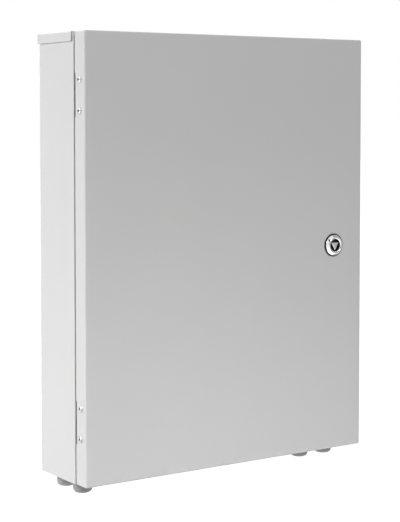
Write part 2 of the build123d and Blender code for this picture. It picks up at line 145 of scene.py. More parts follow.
# Lock sizes
RIM_FACE = 9.9 * MM
RIM_EDGE = 1.0 * MM
RIM_PROUD = 4.0 * MM
RIM_ROUND = 0.45 * MM
RIM_STEPS = 5
RECESS = 7.5 * MM
RECESS_DEPTH = 7.0 * MM
RECESS_CHAMFER = 1.0 * MM
BARREL = 11.0 * MM
BARREL_FLAT = 10.0 * MM
BARREL_PITCH = 1.0 * MM
BORE = 6.05 * MM
ROTOR = 6.0 * MM
ROTOR_DISC = 7.2 * MM
ROTOR_DISC_THICK = 1.5 * MM
ROTOR_END_GAP = 0.3125 * MM
POST_SIDE = 10.5 * MM
POST_BELOW_RIM = 1.0 * MM
POST_CHAMFER = 0.5 * MM
POST_ROUND = 0.4 * MM
TAIL_WIDTH = 7.0 * MM
TAIL_ROUND = 0.8 * MM
PRISM_CORNER_STEPS = 5
SINK = 0.1 * MM
# Painted shade: how far below the rim the lock's recess is darkened in the colour, and from which point
LOCK_SHADE_DEPTH = 1.2 * MM
LOCK_SHADE_START = (151.5 * MM, -107.9 * MM, 0.0)

# Grommet sizes
CUP = 11.0 * MM
CUP_ROUND = 5.0 * MM
CUP_STEPS = 12
CUP_WALL = 1.6 * MM
NECK = 9.0 * MM
COLLAR_THICK = 2.0 * MM
COLLAR_REST = 1.25 * MM
CUP_FLOOR = 5.0 * MM
STEP_HEIGHTS = (-6.5 * MM, -3.5 * MM)
STEP_WIDTH = 0.5 * MM
STEP_DEPTH = 0.35 * MM

# Gasket bead
GASKET_WIDTH = 12.0 * MM
GASKET_INNER_ROUND = 0.6 * MM
GASKET_STEP = 6.0 * MM
GASKET_CORNER_STEPS = 8
GASKET_FACETS = 14
GASKET_FLARE_POWER = 0.62
GASKET_CROWN_POWER = 0.72
GASKET_UNEVEN = 0.05
GASKET_WAVES = 45.0

# Sheet, pins and cast pieces whose CAD shape is shown, with how far their cut edges are eased
CUT_EDGE = 0.2 * MM
CAST_EDGE = 0.3 * MM
CUT_EDGE_SEGMENTS = 2
CUT_EDGE_ANGLE = 40.0
SHEET_NODES = {
    "housing_shell": CUT_EDGE,
    "top_cover": CUT_EDGE,
    "bottom_panel": CUT_EDGE,
    "door_panel": CUT_EDGE,
    "mounting_plate": CUT_EDGE,
    "lock_cam": CUT_EDGE,
    "upper_hinge_pin": CUT_EDGE,
    "lower_hinge_pin": CUT_EDGE,
    "upper_hinge_frame_half": CAST_EDGE,
    "lower_hinge_frame_half": CAST_EDGE,
    "upper_hinge_door_half": CAST_EDGE,
    "lower_hinge_door_half": CAST_EDGE,
}

# The greys of each finish, darkest and lightest
PAINT_GREYS = (0.60, 0.625)
GALVANISED_GREYS = (0.46, 0.51)
ZINC_GREYS = (0.50, 0.60)
ZINC_WARMTH = 0.01
CAST_ZINC_GREYS = (0.40, 0.50)
CHROME_GREYS = (0.76, 0.82)
SATIN_CHROME_GREYS = (0.66, 0.76)
GROMMET_GREYS = (0.36, 0.43)
FOAM_GREYS = (0.018, 0.035)
SEAL_GREYS = (0.006, 0.012)
FLOOR_GREYS = (0.78, 0.80)
# Painted shade: the grey that darkens the screw recesses
SCREW_SHADE_GREY = 0.04
# Painted shade: the grey that darkens the lock's recess
LOCK_SHADE_GREY = 0.05

# Studio
AMBIENT = 0.1
FLOOR_HEIGHT = -1.2
FLOOR_WIDTH = 60.0
FLOOR_GLOW = 0.94

# What the lamps and the cards face
MIDDLE = (0.0, -0.05, 0.0)
LOW_SIDE = (-0.19, -0.04, -0.25)
BELOW = (-0.05, -0.1, -0.85)
BELOW_SIDE = (-0.19, -0.04, -0.75)
LOCK = (0.15, -0.11, 0.0)
HINGES = (-0.2, -0.1, 0.0)

# Lamps: name, place, aim, width, height, power in watts, and the spread in degrees where a grid narrows it
NO_GRID = 180
SOFTBOXES = (
    ("side_box", (-2.2, 0.45, 1.5), MIDDLE, 1.6, 1.2, 46.0),
    ("side_low_box", (-1.2, 0.3, -0.15), LOW_SIDE, 0.5, 0.4, 3.4),
    ("front_box", (-0.3, -2.2, 1.3), MIDDLE, 1.4, 0.8, 31.1),
    ("side_grid_box", (-1.6, 0.3, 0.9), BELOW_SIDE, 0.5, 0.4, 0.7, 45),
    ("front_grid_box", (-0.3, -1.5, 0.9), BELOW, 0.8, 0.3, 1.9, 45),
    ("rear_box", (0.3, 2.6, 0.9), MIDDLE, 1.6, 1.2, 32.0),
    ("right_box", (2.2, 1.1, 1.2), MIDDLE, 1.2, 1.0, 20.0),
)

# Cards that only metal and gloss mirror: name, place, aim, width, height, brightness
CARDS = (
    ("grey_card_right", (1.25, -1.45, -0.1), LOCK, 1.3, 1.6, 0.50),
    ("dark_card_front", (-0.55, -1.55, 0.75), LOCK, 1.2, 1.9, 0.02),
    ("grey_card_top", (1.1, -0.15, 1.15), LOCK, 1.1, 1.1, 0.45),
    ("dark_card_low_left", (-0.95, -0.15, -0.75), HINGES, 0.7, 0.9, 0.05),
)


class Value:
    """What a shader node gives. An expression on values adds Math nodes."""

    def __init__(self, shader, socket):
        self.shader = shader
        self.socket = socket

    def math(self, operation, first, second):
        return self.shader.node("ShaderNodeMath", {"operation": operation}, {0: first, 1: second})

    def larger(self, other):
        return self.math("MAXIMUM", self, other)

    def __abs__(self):
        return self.math("ABSOLUTE", self, 0)

    def __add__(self, other):
        return self.math("ADD", self, other)

    def __sub__(self, other):
        return self.math("SUBTRACT", self, other)

    def __rsub__(self, other):
        return self.math("SUBTRACT", other, self)

    def __mul__(self, other):
        return self.math("MULTIPLY", self, other)

    __radd__ = __add__
    __rmul__ = __mul__


class Shader:
    """The nodes of one material, or of the world."""

    def __init__(self, tree):
        self.tree = tree

    def fill(self, node, inputs):
        """Sets or links a node's sockets."""
        for socket, value in inputs.items():
            if isinstance(value, Value):
                self.tree.links.new(value.socket, node.inputs[socket])
            else:
                node.inputs[socket].default_value = value

    def node(self, kind, settings, inputs, output=0):
        """Any node: its settings are set first, then its sockets."""
        made = self.tree.nodes.new(kind)
        for name, setting in settings.items():
            setattr(made, name, setting)
        self.fill(made, inputs)
        return Value(self, made.outputs[output])

    def place(self):
        """A place on the piece, in its own frame."""
        return self.node("ShaderNodeTexCoord", {}, {}, "Object")

    def noise(self, scale, detail=2.0, stretch=(1, 1, 1)):
        """Smooth noise over the piece, so many waves to the metre."""
        spread = self.node("ShaderNodeMapping", {}, {"Vector": self.place(), "Scale": stretch})
        return self.node("ShaderNodeTexNoise", {}, {"Vector": spread, "Scale": scale, "Detail": detail})

    def cells(self, scale, output):
        """Crystals or foam cells over the piece, so many to the metre."""
        return self.node("ShaderNodeTexVoronoi", {}, {"Vector": self.place(), "Scale": scale}, output)

    def blend(self, amount, first, second):
        """A colour between two colours."""
        sockets = {"Factor": amount, 6: first, 7: second}
        return self.node("ShaderNodeMix", {"data_type": "RGBA"}, sockets, 2)

    def greys(self, amount, darkest, lightest, warmth=0.0):
        """A grey between two greys."""
        return self.blend(amount, grey(darkest, warmth), grey(lightest, warmth))

    def ramp(self, value, start, end, first, last):
        """A number that runs from the first to the last as the value goes from start to end."""
        steps = {"Value": value, "From Min": start, "From Max": end, "To Min": first, "To Max": last}
        return self.node("ShaderNodeMapRange", {}, steps)

    def offset(self, origin):
        """The X, Y and Z of a place on the piece, from an origin."""
        arrow = self.node("ShaderNodeVectorMath", {"operation": "SUBTRACT"}, {0: self.place(), 1: origin})
        return [self.node("ShaderNodeSeparateXYZ", {}, {"Vector": arrow}, axis) for axis in "XYZ"]

    def reach(self, across, along):
        """How far two offsets at right angles go together."""
        arrow = self.node("ShaderNodeCombineXYZ", {}, {"X": across, "Y": along})
        return self.node("ShaderNodeVectorMath", {"operation": "LENGTH"}, {0: arrow}, "Value")

    def bump(self, height, depth):
        """A surface that rises and falls by the height, up to the depth."""
        return self.node("ShaderNodeBump", {}, {"Height": height, "Distance": depth}, "Normal")


def finish(name, inputs_of):
    """A material whose Principled sockets come from a function of its shader."""
    made = bpy.data.materials.new(name)
    made.use_nodes = True
    shader = Shader(made.node_tree)
    principled = made.node_tree.nodes["Principled BSDF"]
    shader.fill(principled, inputs_of(shader))
    return made


def grey(level, warmth=0.0):
    """A grey. Warmth gives it a little more red than blue."""
    return (level * (1 + warmth), level, level * (1 - warmth), 1)


def powder_coat(shader):
    """Light grey polyester powder coat: fine orange peel, satin."""
    cloud = shader.noise(scale=9.0)
    peel = shader.noise(scale=1100.0, detail=1.0)
    grain = shader.noise(scale=4200.0, detail=1.0)
    return {
        "Base Color": shader.greys(cloud, *PAINT_GREYS),
        "Roughness": 0.40 + 0.06 * peel + 0.04 * cloud,
        "Normal": shader.bump(0.75 * peel + 0.25 * grain, depth=0.018 * MM),
    }


def galvanised(shader):
    """Hot-dip galvanised sheet with a faint spangle."""
    spangle = shader.cells(150.0, "Color")
    share = shader.node("ShaderNodeSeparateColor", {}, {"Color": spangle}, "Red")
    drawn = shader.noise(scale=600.0, stretch=(1, 1, 0.03))
    return {
        "Base Color": shader.greys(share, *GALVANISED_GREYS),
        "Metallic": METAL,
        "Roughness": 0.38 + 0.08 * share + 0.06 * drawn,
        "Normal": shader.bump(drawn, depth=0.01 * MM),
    }


def screw_recess_painted_shade(shader):
    """1 deep inside the recesses of the four screws on the door's left flange, 0 elsewhere: where painted
    shade darkens them.
    """
    depth, across, height = shader.offset(HINGE_SCREW_TOP)
    from_screw = abs(abs(height) - HINGE_HEIGHT) - HINGE_SCREW_OFFSET
    from_axis = shader.reach(across, from_screw)
    inside = shader.ramp(from_axis, PAN_RECESS_REACH, PAN_RECESS_REACH + 2 * HOLE_FIT, 1, 0)
    below = shader.ramp(depth, SCREW_SHADE_SHALLOW, SCREW_SHADE_DEEP, 0, 1)
    above = shader.ramp(depth, PAN_RECESS_DEPTH, PAN_HEAD, 1, 0)
    return inside * below * above


def zinc_plate(shader):
    """Bright zinc on turned and stamped steel, with painted shade in the recesses of the round-head screws.
    """
    cloud = shader.noise(scale=320.0)
    scratch = shader.noise(scale=2600.0)
    plate = shader.greys(cloud, *ZINC_GREYS, ZINC_WARMTH)
    return {
        # Painted shade: the screw recesses are darkened in the base colour
        "Base Color": shader.blend(screw_recess_painted_shade(shader), plate, grey(SCREW_SHADE_GREY)),
        "Metallic": METAL,
        "Roughness": 0.20 + 0.14 * scratch,
        "Normal": shader.bump(scratch, depth=0.006 * MM),
    }


def cast_zinc(shader):
    """Satin die-cast zinc, slightly pitted."""
    pits = shader.noise(scale=1500.0, detail=3.0)
    cloud = shader.noise(scale=180.0)
    return {
        "Base Color": shader.greys(cloud, *CAST_ZINC_GREYS),
        "Metallic": METAL,
        "Roughness": 0.38 + 0.16 * pits,
        "Normal": shader.bump(pits, depth=0.03 * MM),
    }


def lock_recess_painted_shade(shader):
    """0 outside the lock's recess, rising to 1 below the rim, where painted shade darkens it."""
    across, depth, height = shader.offset(LOCK_SHADE_START)
    from_axis = shader.reach(across, height)
    inside = shader.ramp(from_axis, RECESS + HOLE_FIT, RECESS + 4 * HOLE_FIT, 1, 0)
    return inside * shader.ramp(depth, 0, LOCK_SHADE_DEPTH, 0, 1)


def chrome(shader):
    """Polished chrome plate with the faintest wave, with painted shade darkening the inside of the recess."""
    wave = shader.noise(scale=260.0, detail=1.0)
    plate = shader.greys(wave, *CHROME_GREYS)
    return {
        # Painted shade: the lock's recess is darkened in the base colour
        "Base Color": shader.blend(lock_recess_painted_shade(shader), plate, grey(LOCK_SHADE_GREY)),
        "Metallic": METAL,
        "Roughness": 0.05 + 0.05 * wave,
        "Normal": shader.bump(wave, depth=0.01 * MM),
    }


def satin_chrome(shader):
    """Satin chrome plate of the key post and the nut, with painted shade darkening the foot of the post."""
    grain = shader.noise(scale=2400.0)
    plate = shader.greys(grain, *SATIN_CHROME_GREYS)
    return {
        # Painted shade: the foot of the key post is darkened in the base colour
        "Base Color": shader.blend(lock_recess_painted_shade(shader), plate, grey(LOCK_SHADE_GREY)),
        "Metallic": METAL,
        "Roughness": 0.24 + 0.12 * grain,
        "Normal": shader.bump(grain, depth=0.008 * MM),
    }


def grommet_rubber(shader):
    """Light grey rubber, matt, with a slight bloom."""
    bloom = shader.noise(scale=240.0, detail=3.0)
    grain = shader.noise(scale=2600.0)
    return {
        "Base Color": shader.greys(bloom, *GROMMET_GREYS),
        "Roughness": 0.52 + 0.16 * bloom,
        "Normal": shader.bump(grain, depth=0.03 * MM),
    }


def gasket_foam(shader):
    """Foamed gasket: dark skin with fine closed cells."""
    cells = shader.cells(1500.0, "Distance")
    cloud = shader.noise(scale=120.0)
    return {
        "Base Color": shader.greys(cloud, *FOAM_GREYS),
        "Roughness": 0.72 + 0.16 * cloud,
        "Normal": shader.bump(cells, depth=0.12 * MM),
    }


def seal_rubber(shader):
    """Black rubber of the lock's seal."""
    grain = shader.noise(scale=2000.0)
    return {
        "Base Color": shader.greys(grain, *SEAL_GREYS),
        "Specular IOR Level": 0.25,
        "Roughness": 0.60 + 0.12 * grain,
        "Normal": shader.bump(grain, depth=0.02 * MM),
    }


FINISHES = {
    "painted_sheet": finish("powder_coat", powder_coat),
    "galvanised_plate": finish("galvanised_sheet", galvanised),
    "zinc_fasteners": finish("zinc_plate", zinc_plate),
    "hinge_zinc": finish("cast_zinc", cast_zinc),
    "lock_chrome": finish("chrome_plate", chrome),
    "lock_core": finish("satin_chrome", satin_chrome),
    "grommet_rubber": finish("grommet_rubber", grommet_rubber),
    "gasket_foam": finish("gasket_foam", gasket_foam),
    "seal_rubber": finish("seal_rubber", seal_rubber),
}
SLOT_OF = {part["node"]: part["material_slot"] for part in frame["record"]["subparts"]}


def dress(node, edge):
    """Gives a CAD node its finish, and eases its cut edges."""
    shown = frame["nodes"][node]
    if not shown.material_slots:
        shown.data.materials.append(None)
    for holder in shown.material_slots:
        holder.link = "OBJECT"
        holder.material = FINISHES[SLOT_OF[node]]
    weld = shown.modifiers.new("weld", "WELD")
    weld.merge_threshold = WELD
    bevel = shown.modifiers.new("edges", "BEVEL")
    bevel.width = edge
    bevel.segments = CUT_EDGE_SEGMENTS
    bevel.limit_method = "ANGLE"
    bevel.angle_limit = math.radians(CUT_EDGE_ANGLE)
    bevel.use_clamp_overlap = True
    even = shown.modifiers.new("even", "WEIGHTED_NORMAL")
    even.keep_sharp = True


def solids(node):
    """The boxes of a CAD node's separate solids, each as its lowest and highest corner."""
    mesh = bmesh.new()
    mesh.from_mesh(frame["nodes"][node].data)
    bmesh.ops.remove_doubles(mesh, verts=mesh.verts, dist=WELD)
    seen = set()
    boxes = []
    for start in mesh.verts:
        if start in seen:
            continue
        group = [start]
        seen.add(start)
        for corner in group:
            for edge in corner.link_edges:
                other = edge.other_vert(corner)
                if other not in seen:
                    seen.add(other)
                    group.append(other)
        low = Vector(min(corner.co[axis] for corner in group) for axis in range(3))
        high = Vector(max(corner.co[axis] for corner in group) for axis in range(3))
        boxes.append((low, high))
    mesh.free()
    return boxes


def seat(origin, direction):
    """A place whose Z runs from the origin along the direction."""
    turn = Vector(direction).to_track_quat("Z", "Y").to_matrix().to_4x4()
    return Matrix.Translation(origin) @ turn


def eased(outline, reach, steps=EDGE_STEPS):
    """The outline with each corner between its ends cut to a small round."""
    points = [Vector(point) for point in outline]
    result = [points[0]]
    for before, corner, after in zip(points, points[1:], points[2:]):
        back = before - corner
        onward = after - corner
        first = corner + back.normalized() * min(reach, EDGE_SHARE * back.length)
        last = corner + onward.normalized() * min(reach, EDGE_SHARE * onward.length)
        for step in range(steps + 1):
            share = step / steps
            result.append(first.lerp(corner, share).lerp(corner.lerp(last, share), share))
    result.append(points[-1])
    return result


def arc(centre, radius, start, end, steps):
    """Points on an arc, from one angle to another in degrees."""
    points = []
    for step in range(steps + 1):
        angle = math.radians(start + (end - start) * step / steps)
        points.append((centre[0] + radius * math.cos(angle), centre[1] + radius * math.sin(angle)))
    return points


class Thread:
    """A screw thread between two heights."""

    def __init__(self, radius, pitch, low, high):
        self.radius = radius
        self.pitch = pitch
        self.low = low
        self.high = high

    def run(self):
        """The outline's points along the thread, from low to high."""
        length = self.high - self.low
        count = max(2, round(length / self.pitch * THREAD_STEPS))
        return [(self.radius, self.low + length * step / count) for step in range(count + 1)]

    def cut(self, angle, height):
        """How deep the groove is at an angle and a height."""
        inside = min(height - self.low, self.high - height) / self.pitch
        if inside <= 0:
            return 0
        phase = (height / self.pitch - angle / TAU) % 1
        return self.pitch * THREAD_DEPTH_SHARE * abs(2 * phase - 1) * min(1, inside)


def turned(mesh, place, outline, sides, thread=None, flat=None):
    """Adds a turned solid. The outline's points are radius and height: it starts and ends on the axis,
    or closes on itself. A flat trims the threaded stretch on two sides."""
    rings = []
    for radius, height in outline:
        if radius == 0:
            rings.append([mesh.verts.new(place @ Vector((0, 0, height)))])
            continue
        ring = []
        for side in range(sides):
            angle = TAU * side / sides
            reach = radius
            across = None
            if thread and thread.low <= height <= thread.high:
                reach -= thread.cut(angle, height)
                across = flat
            x = reach * math.cos(angle)
            y = reach * math.sin(angle)
            if across:
                y = max(-across, min(across, y))
            ring.append(mesh.verts.new(place @ Vector((x, y, height))))
        rings.append(ring)
    if len(rings[0]) > 1:
        rings.append(rings[0])
    for lower, upper in zip(rings, rings[1:]):
        for side in range(sides):
            after = (side + 1) % sides
            corners = [lower[side % len(lower)], lower[after % len(lower)]]
            corners += [upper[after % len(upper)], upper[side % len(upper)]]
            mesh.faces.new(list(dict.fromkeys(corners)))


def hexagon_nut(mesh, place, across, thick, hole):
    """Adds a hexagon nut with chamfered corners and a countersunk hole."""
    face = NUT_FACE_SHARE * across / 2
    ease = min(NUT_CHAMFER, NUT_HOLE_SHARE * hole)
    slope = math.tan(math.radians(NUT_CHAMFER_ANGLE))
    spokes = []
    for side in range(NUT_SIDES):
        angle = TAU * side / NUT_SIDES
        from_flat = (angle + math.pi / 6) % (math.pi / 3) - math.pi / 6
        corner = across / 2 / math.cos(from_flat)
        drop = (corner - face) * slope
        outline = [
            (hole, ease),
            (hole + ease, 0),
            (face, 0),
            (corner, drop),
            (corner, thick - drop),
            (face, thick),
            (hole + ease, thick),
            (hole, thick - ease),
        ]
        out = Vector((math.cos(angle), math.sin(angle), 0))
        points = [radius * out + Vector((0, 0, height)) for radius, height in outline]
        spokes.append([mesh.verts.new(place @ point) for point in points])
    for here, there in zip(spokes, spokes[1:] + spokes[:1]):
        for step in range(len(here)):
            after = (step + 1) % len(here)
            mesh.faces.new((here[step], there[step], there[after], here[after]))


def cross_cutter(mesh, place, reach, half_width, depth, rise):
    """Adds the tapered cross that a driver's recess is cut with."""
    top = (rise, reach, half_width)
    foot = (-depth, FOOT_REACH_SHARE * reach, FOOT_WIDTH_SHARE * half_width)
    rings = []
    for height, arm, half in (top, foot):
        ring = []
        for quarter in range(4):
            turn = Matrix.Rotation(math.pi / 2 * quarter, 4, "Z")
            for x, y in ((arm, -half), (arm, half), (half, half)):
                ring.append(mesh.verts.new(place @ turn @ Vector((x, y, height))))
        rings.append(ring)
    upper, lower = rings
    mesh.faces.new(upper)
    mesh.faces.new(list(reversed(lower)))
    for step in range(len(upper)):
        after = (step + 1) % len(upper)
        mesh.faces.new((upper[step], lower[step], lower[after], upper[after]))


def shown_object(name, data):
    """A new object in the scene."""
    made = bpy.data.objects.new(name, data)
    bpy.context.scene.collection.objects.link(made)
    return made


def mesh_object(name, mesh):
    """An object of a finished mesh."""
    bmesh.ops.recalc_face_normals(mesh, faces=mesh.faces)
    data = bpy.data.meshes.new(name)
    mesh.to_mesh(data)
    mesh.free()
    return shown_object(name, data)


def carve(body, cutter):
    """Cuts one object out of another, and removes the cutter."""
    cut = body.modifiers.new("cut", "BOOLEAN")
    cut.operation = "DIFFERENCE"
    cut.solver = "EXACT"
    cut.object = cutter
    carved = body.evaluated_get(bpy.context.evaluated_depsgraph_get())
    body.data = bpy.data.meshes.new_from_object(carved)
    body.modifiers.clear()
    bpy.data.objects.remove(cutter)


def keep(made, node, sharp=SHARP):
    """Puts a finished piece in place of a CAD node, with its shading, the material of the node's slot, and
    its body.
    """
    made.data.shade_smooth()
    made.data.set_sharp_from_angle(angle=math.radians(sharp))
    made.data.materials.clear()
    made.data.materials.append(FINISHES[SLOT_OF[node]])
    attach(made, frame["nodes"][node]["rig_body"])
    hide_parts(node)


def spots(node, direction):
    """For each solid of a node: a place at the end that the direction points to, and its span there."""
    found = []
    for low, high in solids(node):
        size = high - low
        way = Vector(direction)
        place = seat((low + high) / 2 + way * abs(size.dot(way)) / 2, way)
        span = Vector(abs(part) for part in place.to_3x3().inverted() @ size)
        found.append((place, span))
    return found


def lowered(place, depth):
    """A place moved back along its own axis."""
    return place @ Matrix.Translation((0, 0, -depth))


def pan_head(radius, height):
    """The outline of a pan head, from its bearing face up to the axis."""
    points = [(radius - EDGE_ROUND, 0), (radius, EDGE_ROUND)]
    for step in range(DOME_STEPS):
        angle = math.pi / 2 * step / DOME_STEPS
        rise = PAN_EDGE + (height - PAN_EDGE) * math.sin(angle) ** DOME_RISE_POWER
        points.append((radius * math.cos(angle) ** DOME_RADIUS_POWER, rise))
    points.append((0, height))
    return points


def countersunk_head(radius, height):
    """The outline of a countersunk head, from the thread up to the axis."""
    edge = radius - EDGE_ROUND
    return [(edge, height - EDGE_ROUND), (edge, height), (0, height)]


def screws(node, name, direction, size, pitch, head, head_outline, recess):
    """Screws with a cross recess, one for each solid of a node. The recess is reach, half width, depth."""
    mesh = bmesh.new()
    cutters = bmesh.new()
    reach, half, depth = recess
    for place, span in spots(node, direction):
        bearing = lowered(place, head)
        length = span.z - head
        thread = Thread(size, pitch, pitch / 2 - length, 0)
        tip = [(0, -length), (size - pitch / 2, -length)]
        radius = max(span.x, span.y) / 2
        outline = tip + thread.run() + head_outline(radius, head)
        turned(mesh, bearing, outline, SCREW_SIDES, thread)
        cross_cutter(cutters, place, reach, half, depth, CUTTER_RISE_SHARE * head)
    made = mesh_object(name, mesh)
    carve(made, mesh_object(f"{name}_cutter", cutters))
    keep(made, node, SCREW_SHARP)


def studs(node, name, direction, size, pitch, foot):
    """Threaded studs on a wider foot, one for each solid of a node."""
    mesh = bmesh.new()
    for place, span in spots(node, direction):
        base = lowered(place, span.z)
        wide = max(span.x, span.y) / 2
        thread = Thread(size, pitch, foot, span.z - pitch / 2)
        shoulder = eased([(0, 0), (wide, 0), (wide, foot), (size, foot)], 2 * EDGE_ROUND)
        tip = [(size - pitch / 2, span.z), (0, span.z)]
        turned(mesh, base, shoulder + thread.run()[1:] + tip, SCREW_SIDES, thread)
    keep(mesh_object(name, mesh), node)


def rings(node, name, direction, hole, sides=WASHER_SIDES):
    """Flat washers or seals, one for each solid of a node. The section starts and ends on the hole's wall."""
    mesh = bmesh.new()
    for place, span in spots(node, direction):
        wide = max(span.x, span.y) / 2
        low = -span.z
        section = [(hole, low / 2), (hole, low), (wide, low), (wide, 0), (hole, 0), (hole, low / 4)]
        turned(mesh, place, eased(section, EDGE_ROUND), sides)
    keep(mesh_object(name, mesh), node)


def nuts(node, name, direction, hole):
    """Hexagon nuts, one for each solid of a node, turned as the solid is."""
    mesh = bmesh.new()
    for place, span in spots(node, direction):
        base = lowered(place, span.z)
        if span.x > span.y:
            base = base @ Matrix.Rotation(math.pi / 2, 4, "Z")
        hexagon_nut(mesh, base, min(span.x, span.y), span.z, hole)
    keep(mesh_object(name, mesh), node)


def grommet(node, name):
    """A blind rubber cup with a grooved neck, hollow from inside, and two shallow steps outside."""
    mesh = bmesh.new()
    ((place, span),) = spots(node, UP)
    base = lowered(place, COLLAR_REST + COLLAR_THICK)
    collar = span.x / 2
    bottom = -(span.z - COLLAR_REST - COLLAR_THICK)
    inner = NECK - CUP_WALL
    outside = [(0, bottom)]
    outside += arc((CUP - CUP_ROUND, bottom + CUP_ROUND), CUP_ROUND, -90, 0, CUP_STEPS)
    for height in STEP_HEIGHTS:
        outside += [
            (CUP, height - STEP_WIDTH),
            (CUP - STEP_DEPTH, height - STEP_WIDTH / 2),
            (CUP - STEP_DEPTH, height + STEP_WIDTH / 2),
            (CUP, height + STEP_WIDTH),
        ]
    neck = [
        (CUP, 0),
        (NECK, 0),
        (NECK, COLLAR_REST),
        (collar, COLLAR_REST),
        (collar, COLLAR_REST + COLLAR_THICK),
        (inner, COLLAR_REST + COLLAR_THICK),
        (inner, 0),
        (CUP_FLOOR, bottom + CUP_WALL),
        (0, bottom + CUP_WALL),
    ]
    outline = outside[:1] + eased(outside[1:] + neck, 2 * EDGE_ROUND)
    turned(mesh, base, outline, GROMMET_SIDES)
    keep(mesh_object(name, mesh), node, GROMMET_SHARP)


def rounded_polygon(count, radius, round_radius, first):
    """A regular polygon with rounded corners. The first corner lies at an angle, in degrees."""
    points = []
    middle = radius - round_radius / math.sin(math.pi / 2 - math.pi / count)
    half = 180 / count
    for corner in range(count):
        angle = first + 360 * corner / count
        centre = (middle * math.cos(math.radians(angle)), middle * math.sin(math.radians(angle)))
        points += arc(centre, round_radius, angle - half, angle + half, PRISM_CORNER_STEPS)
    return points


def prism(mesh, place, outline, low, high, chamfer, apothem):
    """Adds a prism of an outline, with a chamfer at its high end."""
    layers = []
    for height, share in ((low, 1), (high - chamfer, 1), (high, 1 - chamfer / apothem)):
        points = [Vector((share * x, share * y, height)) for x, y in outline]
        layers.append([mesh.verts.new(place @ point) for point in points])
    mesh.faces.new(layers[0])
    mesh.faces.new(layers[-1])
    for lower, upper in zip(layers, layers[1:]):
        for step in range(len(outline)):
            after = (step + 1) % len(outline)
            mesh.faces.new((lower[step], lower[after], upper[after], upper[step]))


def lock():
    """The lock's body with its bevelled rim and threaded barrel, and the rotor with the key post."""
    ((rim, span),) = spots("lock_body", FORWARD)
    front = lowered(rim, RIM_PROUD)
    wide = span.x / 2
    length = span.z - RIM_PROUD
    floor = RIM_PROUD - RECESS_DEPTH
    # The body's outline starts and ends on the wall of the bore, behind the rotor's disc
    thread = Thread(BARREL, BARREL_PITCH, BARREL_PITCH - length, -BARREL_PITCH)
    back = [(BORE, floor - RECESS_DEPTH), (BORE, -length), (BARREL - BARREL_PITCH, -length)]
    face = [
        (BARREL, -BARREL_PITCH),
        (BARREL, 0),
        (wide, 0),
        (wide, RIM_EDGE),
        (RIM_FACE, RIM_PROUD),
        (RECESS + RECESS_CHAMFER, RIM_PROUD),
        (RECESS, RIM_PROUD - RECESS_CHAMFER),
        (RECESS, floor),
        (BORE, floor),
        (BORE, floor - ROTOR_DISC_THICK),
    ]
    mesh = bmesh.new()
    outline = back + thread.run() + eased(face, RIM_ROUND, RIM_STEPS)[1:]
    turned(mesh, front, outline, LOCK_SIDES, thread, BARREL_FLAT)
    keep(mesh_object("lock_body_turned", mesh), "lock_body", LOCK_SHARP)

    ((_, insert),) = spots("lock_insert", BACK)
    disc = floor + ROTOR_DISC_THICK
    shoulder = -length - ROTOR_END_GAP
    post = RIM_PROUD - POST_BELOW_RIM
    rotor = [
        (0, shoulder),
        (ROTOR, shoulder),
        (ROTOR, floor),
        (ROTOR_DISC, floor),
        (ROTOR_DISC, disc),
        (0, disc),
    ]
    mesh = bmesh.new()
    turned(mesh, front, eased(rotor, 2 * EDGE_ROUND), ROTOR_SIDES)
    post_corner = POST_SIDE / math.sqrt(3)
    post_apothem = POST_SIDE / math.sqrt(12)
    triangle = rounded_polygon(3, post_corner, POST_ROUND, -90)
    prism(mesh, front, triangle, disc - SINK, post, POST_CHAMFER, post_apothem)
    tail_corner = TAIL_WIDTH / math.sqrt(2) - TAIL_ROUND
    square = rounded_polygon(4, tail_corner, TAIL_ROUND, 45)
    prism(mesh, front, square, post - insert.z, shoulder + SINK, 0, TAIL_WIDTH / 2)
    keep(mesh_object("lock_rotor_with_key_post", mesh), "lock_insert", LOCK_SHARP)


def gasket():
    """The foamed bead round the door, crowned and a little uneven along its run."""
    low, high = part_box("door_gasket")
    across = GASKET_WIDTH / 2
    corner = across + GASKET_INNER_ROUND
    half_x = high.x - across - corner
    half_z = high.z - across - corner
    tall = high.y - low.y
    path = []
    for quarter, (sign_x, sign_z) in enumerate(((1, 1), (-1, 1), (-1, -1), (1, -1))):
        centre = (sign_x * half_x, sign_z * half_z)
        start = 90 * quarter
        for x, z in arc(centre, corner, start, start + 90, GASKET_CORNER_STEPS):
            out = Vector((x - centre[0], 0, z - centre[1])).normalized()
            path.append((Vector((x, 0, z)), out))
    run = []
    for (start, out), (end, out_after) in zip(path, path[1:] + path[:1]):
        count = max(1, round((end - start).length / GASKET_STEP))
        for step in range(count):
            share = step / count
            run.append((start.lerp(end, share), out.lerp(out_after, share).normalized()))
    section = []
    for step in range(GASKET_FACETS + 1):
        angle = math.pi * step / GASKET_FACETS
        flare = math.copysign(abs(math.cos(angle)) ** GASKET_FLARE_POWER, math.cos(angle))
        section.append((across * flare, tall * math.sin(angle) ** GASKET_CROWN_POWER))
    mesh = bmesh.new()
    loops = []
    for place, out in run:
        swell = 1 - GASKET_UNEVEN * (0.5 + 0.5 * noise.noise(place * GASKET_WAVES))
        loop = []
        for side, rise in section:
            x = place.x + out.x * side * swell
            z = place.z + out.z * side * swell
            loop.append(mesh.verts.new((x, low.y + rise * swell, z)))
        loops.append(loop)
    for here, there in zip(loops, loops[1:] + loops[:1]):
        for step in range(len(section)):
            after = (step + 1) % len(section)
            mesh.faces.new((here[step], there[step], there[after], here[after]))
    keep(mesh_object("gasket_bead", mesh), "door_gasket", GASKET_SHARP)


